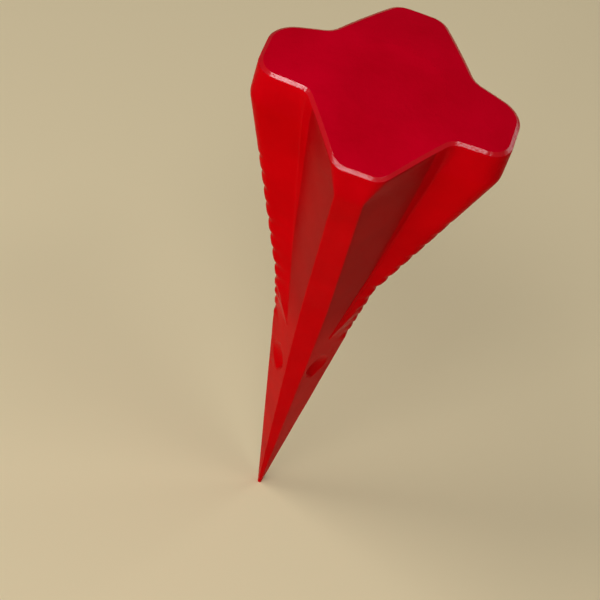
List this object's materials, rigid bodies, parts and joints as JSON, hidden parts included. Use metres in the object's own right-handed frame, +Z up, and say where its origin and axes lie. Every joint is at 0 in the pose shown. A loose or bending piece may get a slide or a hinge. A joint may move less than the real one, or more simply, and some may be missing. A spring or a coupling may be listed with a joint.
{
  "type": "splitting wedge",
  "caption": "Steel log-splitting wedge with a crowned star-shaped striking face, tapering wings, notched wing edges and a slender faceted point, painted gloss red.",
  "frame": {"origin": "middle of the tip, the lowest point of the wedge as it stands point down", "axes": "+Z up the wedge's axis from the tip to the striking face, X across the toothed wings, Y across the plain wings with the front wing at -Y"},
  "size_m": [0.078, 0.075, 0.195],
  "materials": {
    "head_enamel": "gloss red enamel on forged steel, struck face",
    "wing_enamel": "gloss red enamel on forged steel, faint cross ripples on the toothed wings",
    "point_enamel": "gloss red enamel on forged steel, thin towards the tip"
  },
  "bodies": {
    "root": {"striking_head": "head_enamel", "core": "wing_enamel", "wing_left": "wing_enamel", "wing_right": "wing_enamel", "wing_front": "wing_enamel", "wing_back": "wing_enamel", "point": "point_enamel"}
  },
  "joints": []
}
